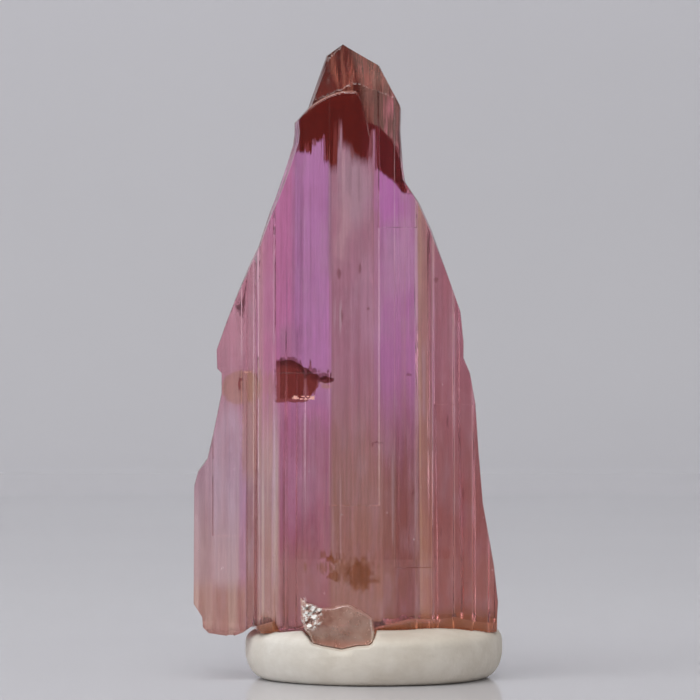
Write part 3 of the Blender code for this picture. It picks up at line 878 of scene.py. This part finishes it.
def makeLump():
    # rings of the outline from the middle of the face out, back along the wall, and in again.
    # The face is the deepest of several planes, chipped flat at its left end.
    form = lumpForm
    corners = np.array(form["outline"] + form["outline"][:1])
    lengths = np.r_[0.0, np.cumsum(np.hypot(*np.diff(corners, axis=0).T))]
    turn = np.linspace(0.0, lengths[-1], form["sides"] + 1)
    rimX = np.interp(turn, lengths, corners[:, 0])
    rimZ = np.interp(turn, lengths, corners[:, 1])
    middleX, middleZ = form["middle"]
    wallShare, wallY = np.array(form["wall"]).T[:, :, None]
    share = np.concatenate([np.linspace(0.0, 1.0, form["rings"])[:, None], wallShare])
    x = middleX + share * (rimX - middleX)[None, :]
    z = middleZ + share * (rimZ - middleZ)[None, :]
    y = np.full_like(x, form["front"])
    for slopeX, slopeZ, depth in form["facets"]:
        y = np.maximum(y, depth + slopeX * (x - middleX) + slopeZ * (z - middleZ))
    y = y + (form["rim"] - form["front"]) * np.clip((share - 0.9) / 0.1, 0.0, 1.0) ** 2 * 0.5
    for chipX, chipZ, reach, slopeX, slopeZ, turned in form["chips"]:
        alongChip = (x - chipX) * math.cos(turned) + (z - chipZ) * math.sin(turned)
        acrossChip = (z - chipZ) * math.cos(turned) - (x - chipX) * math.sin(turned)
        near = np.maximum(np.abs(alongChip), 1.7 * np.abs(acrossChip)) < 1.25 * reach
        chip = form["chipDepth"] + slopeX * (x - chipX) + slopeZ * (z - chipZ)
        y = np.where(near, chip, y)
    y = y + 0.012 * smoothNoise(x * 4.0, z * 4.0, 51)
    y = np.clip(y, form["front"], form["rim"])
    y[0] = y[0].mean()
    y[form["rings"]:] = wallY
    lump = gridMesh("colourlessLump", np.stack([x, y, z], axis=2))
    lump.data.shade_flat()
    print("lump: ", len(lump.data.polygons), "triangles")
    return lump


def lumpMaterial():
    # frosted and brownish, salmon along its lower edge, with painted white sparkle highlights at
    # the chipped end
    nodes = MaterialNodes("colourlessLump")
    cloud = nodes.noise((1.0, 1.0, 1.0), 1.3, 4.0, 0.6)
    colour = nodes.mix(nodes.span(cloud, 0.35, 0.65), "lumpBrown", "lumpGrey")
    paler = nodes.span(nodes.x, -1.0, 0.9, 0.0, 0.5)
    colour = nodes.mix(paler, colour, "lumpPale")
    lowEdge = nodes.times(nodes.span(nodes.z, 2.35, 1.95), 0.7)
    colour = nodes.mix(lowEdge, colour, "lumpSalmon")
    # painted highlights: near-white sparkles on the chips, letting little light through
    chipSparkle = nodes.span(nodes.noise((1.0, 0.4, 1.3), 4.5, 2.0, 0.5, 8.0), 0.5, 0.56)
    chipSparkle = nodes.times(chipSparkle, ellipse(nodes, nodes.x, nodes.z, lumpForm["chipSparkle"], 0.4))
    colour = nodes.mix(chipSparkle, colour, "lumpSparkle")
    nodes.surface("Base Color", colour)
    nodes.surface("Transmission Weight", nodes.mixNumber(chipSparkle, 0.5, 0.05))
    nodes.shader.inputs["IOR"].default_value = 1.55
    rough = nodes.span(nodes.noise((1.0, 1.0, 1.0), 3.0, 3.0, 0.6, 4.0), 0.35, 0.75, 0.12, 0.36)
    nodes.surface("Roughness", rough)
    return nodes.material


# The white tack disc

tackForm = {
    "x": 1.327,
    "halfX": 6.5,
    "halfY": 6.2,
    "widest": 1.45,
    "top": 2.68,
    "shoulder": 4.5,
    "sides": 240,
    "gap": 0.03,
    # the dent under the lump: y of its lowest line, y where it ends and slope away from the line
    "dent": (-5.2, -2.95, 0.02),
    # the swelling at the right of the foot: x, height, reach along x and reach along y
    "swell": (7.0, 0.16, 0.9, 2.2),
    # first and last x of the foot that the tack stays under
    "underFoot": (-7.2, 7.4),
    # lower edge of the lump that presses into the front, as (x, height)
    "underLump": [
        (-2.75, 3.2), (-2.3, 2.58), (-1.95, 2.28), (-1.78, 2.02), (-1.16, 1.87), (-0.66, 1.79),
        (-0.3, 1.72), (-0.02, 1.79), (0.48, 1.89), (1.05, 1.92), (1.28, 2.12), (1.42, 2.64),
        (1.75, 3.2),
    ],
}


def tackOutline(angle):
    # slow uneven waves of a hand-pressed outline
    waves = 0.012 * np.sin(2.0 * angle + 0.6) + 0.01 * np.sin(3.0 * angle - 1.1)
    return 1.0 + waves + 0.006 * np.sin(7.0 * angle + 2.0) - 0.016


def tackTop(x, y, z):
    # pressed in under the lump, softly uneven, raised where it meets the crystal, and
    # pressed down to just under the crystal's underside
    form = tackForm
    dentY, dentEnd, slope = form["dent"]
    pressed = along(form["underLump"], x) + slope * np.abs(y - dentY)
    z = np.where(y < dentEnd, np.minimum(z, np.maximum(pressed, form["widest"])), z)
    high = np.clip((z - 1.6) / 0.6, 0.0, 1.0)
    z = z + 0.05 * smoothNoise(x * 1.1, y * 1.1, 21) * high
    swellX, swell, reachX, reachY = form["swell"]
    z = z + swell * np.exp(-((x - swellX) / reachX) ** 2 - (y / reachY) ** 2) * high
    lip = along(crystalForm["footLip"], x)
    front = -facedDepth(x, lip, "front")
    back = facedDepth(x, lip, "back")
    across = (y - front) / (back - front)
    firstX, lastX = form["underFoot"]
    covered = (across > 0.0) & (across < 1.0) & (x > firstX) & (x < lastX)
    limit = np.where(covered, underside(x, across, lip) - form["gap"], np.inf)
    return np.minimum(z, limit)


def makeTack():
    # rings from the middle of the underside out, up a bulging wall, over the top and in again
    form = tackForm
    angle = np.linspace(0.0, 2.0 * math.pi, form["sides"] + 1)
    low = np.linspace(0.0, math.pi / 2, 14)[1:]
    wallShare = np.r_[0.0, 0.5, 0.84, 0.84 + 0.16 * np.sin(low)]
    wallHeight = np.r_[0.0, 0.0, 0.0, form["widest"] * (1.0 - np.cos(low))]
    topShare = 1.0 - np.linspace(0.0, 1.0, 90)[1:] ** 1.5
    power = form["shoulder"]
    rise = (1.0 - topShare ** power) ** (1.0 / power)
    topHeight = form["widest"] + (form["top"] - form["widest"]) * rise
    reach = np.concatenate([wallShare, topShare])[:, None] * tackOutline(angle)[None, :]
    x = form["x"] + form["halfX"] * reach * np.cos(angle)[None, :]
    y = form["halfY"] * reach * np.sin(angle)[None, :]
    z = np.concatenate([wallHeight, topHeight])[:, None] * np.ones_like(x)
    above = len(wallShare)
    z[above:] = tackTop(x[above:], y[above:], z[above:])
    z[-1] = z[-1].mean()
    x[:, -1], y[:, -1], z[:, -1] = x[:, 0], y[:, 0], z[:, 0]
    tack = gridMesh("whiteTack", np.stack([x, y, z], axis=2))
    tack.data.shade_smooth()
    print("tack: ", len(tack.data.polygons), "triangles")
    return tack


def tackMaterial():
    nodes = MaterialNodes("whiteTack")
    cloud = nodes.noise((1.0, 1.0, 1.0), 0.6, 4.0, 0.6)
    colour = nodes.mix(nodes.span(cloud, 0.35, 0.7), "tackShade", "tackWhite")
    # painted shade: the tack grows darker and warmer towards its right, away from the light on
    # its left
    shadedRight = nodes.span(nodes.x, -3.5, 0.5, 0.0, 1.0)
    colour = nodes.mix(shadedRight, colour, nodes.mix(1.0, colour, "tackRightShade", "MULTIPLY"))
    nodes.surface("Base Color", colour)
    nodes.shader.inputs["Roughness"].default_value = 0.6
    grain = nodes.noise((1.0, 1.0, 1.0), 3.0, 4.0, 0.6)
    nodes.surface("Normal", nodes.bump(grain, 0.3, 0.0001))
    return nodes.material


# Camera, floor and light

studio = {
    "camera": (0.105, -190.0, 16.42),
    "frameWidth": 35.14,
    "floorBack": 230.0,
    "bendRadius": 60.0,
    "wallTop": 420.0,
    # painted light and shade along the paper, which evens out its lighting, as (distance along it
    # from under the crystal to the back, share)
    "evenness": [
        (-60.0, 1.03), (0.0, 1.03), (24.0, 1.012), (40.0, 0.998), (58.0, 0.992), (80.0, 0.993),
        (106.0, 0.997), (150.0, 1.017), (190.0, 1.045), (216.0, 1.066), (230.0, 1.076),
        (240.0, 1.06), (250.0, 1.026), (260.0, 1.004), (273.0, 0.998), (287.0, 0.988),
        (299.0, 0.986), (309.0, 0.999), (318.0, 1.018), (326.0, 1.045),
    ],
    "halfWidth": 900.0,
    "floorFront": -300.0,
    "worldSides": 0.42,
    "worldFront": 0.12,
    # share of the world's light that stays overhead
    "worldAbove": 0.4,
    # name, place, point it faces, width and height, power in watts
    "softboxes": [
        ("topSoftbox", (-80.0, -220.0, 400.0), (0.0, 20.0, 10.0), (420.0, 360.0), 1.62),
        ("leftSoftbox", (-420.0, -190.0, 150.0), (0.0, 0.0, 15.0), (300.0, 400.0), 0.78),
        ("rightSoftbox", (420.0, -150.0, 120.0), (0.0, 0.0, 10.0), (300.0, 300.0), 0.22),
    ],
}


def softLight(name, place, target, size, power):
    # a flat rectangular soft light at place, turned to face target
    data = bpy.data.lights.new(name, "AREA")
    data.shape = "RECTANGLE"
    data.size = size[0] * mm
    data.size_y = size[1] * mm
    data.energy = power
    lamp = bpy.data.objects.new(name, data)
    lamp.location = [value * mm for value in place]
    aim = Vector(target) - Vector(place)
    lamp.rotation_euler = aim.to_track_quat("-Z", "Y").to_euler()
    scene.collection.objects.link(lamp)


def makeCamera():
    cameraData = bpy.data.cameras.new("camera")
    cameraData.sensor_width = 36.0
    # the frame is as wide as frameWidth in the crystal's middle plane
    cameraData.lens = cameraData.sensor_width * -studio["camera"][1] / studio["frameWidth"]
    cameraData.clip_start = 0.001
    camera = bpy.data.objects.new("camera", cameraData)
    camera.location = [value * mm for value in studio["camera"]]
    camera.rotation_euler = (math.radians(90.0), 0.0, 0.0)
    scene.collection.objects.link(camera)
    scene.camera = camera


def makeFloor():
    # flat floor, then a quarter turn of bendRadius, then an upright wall
    form = studio
    radius = form["bendRadius"]
    turn = np.linspace(0.0, math.pi / 2, 40)
    wallY = form["floorBack"] + radius
    y = np.r_[form["floorFront"], form["floorBack"] + radius * np.sin(turn), wallY]
    z = np.r_[0.0, radius * (1.0 - np.cos(turn)), form["wallTop"]]
    sides = np.array([form["halfWidth"], -form["halfWidth"]])
    rows = np.stack(np.broadcast_arrays(sides, y[:, None], z[:, None]), axis=2)
    run = np.append(form["floorFront"], form["floorBack"] + radius * turn)
    run = np.append(run, run[-1] + form["wallTop"] - radius)
    floor = gridMesh("studioFloor", rows, {"run": np.repeat(run, 2)})
    floor.data.shade_smooth()
    nodes = MaterialNodes("studioFloor")
    cloud = nodes.noise((0.02, 0.02, 0.02))
    pale = nodes.mix(nodes.span(cloud, 0.3, 0.7), "paperShade", "paperPale")
    # painted light and shade: the paper lighter or darker along its run to even out the lighting
    evened = nodes.curve(nodes.mark("run"), form["evenness"])
    pale = nodes.mix(1.0, pale, nodes.grey(evened), "MULTIPLY")
    nodes.surface("Base Color", pale)
    # glossy near the crystal, duller further off and matt at the sides and up the wall
    square = nodes.math("ADD", nodes.times(nodes.x, nodes.x), nodes.times(nodes.y, nodes.y))
    nearby = nodes.span(nodes.math("POWER", square, 0.5), 14.0, 70.0, 0.11, 0.26)
    aside = nodes.span(nodes.math("ABSOLUTE", nodes.x), 45.0, 130.0, 0.0, 0.75)
    upright = nodes.span(nodes.z, 0.1, 6.0, 0.0, 0.95)
    matt = nodes.math("MAXIMUM", aside, upright)
    nodes.surface("Roughness", nodes.math("MAXIMUM", nearby, matt))
    nodes.shader.inputs["Specular IOR Level"].default_value = 0.35
    floor.data.materials.append(nodes.material)


def makeWorld():
    # even pale surroundings, darker overhead and on the side that faces the crystal's front
    world = bpy.data.worlds.new("studioWorld")
    world.use_nodes = True
    nodes = NodeTools(world.node_tree, "Generated", 1.0)
    around = nodes.span(nodes.y, -0.95, -0.35, studio["worldFront"], studio["worldSides"])
    above = nodes.span(nodes.z, 0.35, 0.75, 1.0, studio["worldAbove"])
    background = nodes.tree.nodes["Background"]
    background.inputs["Color"].default_value = (0.98, 0.97, 1.0, 1.0)
    nodes.feed(background.inputs["Strength"], nodes.times(around, above))
    scene.world = world


def makeStudio():
    makeCamera()
    makeFloor()
    makeWorld()
    for softbox in studio["softboxes"]:
        softLight(*softbox)
    scene.view_settings.view_transform = "Standard"


def main():
    crystal = makeCrystal()
    crystal.data.materials.append(crystalMaterial())
    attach(crystal, "root")
    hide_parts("crystal")

    lump = makeLump()
    lump.data.materials.append(lumpMaterial())
    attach(lump, "root")
    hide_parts("crystal")

    tack = makeTack()
    tack.data.materials.append(tackMaterial())
    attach(tack, "root")
    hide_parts("putty_base")

    makeStudio()


main()
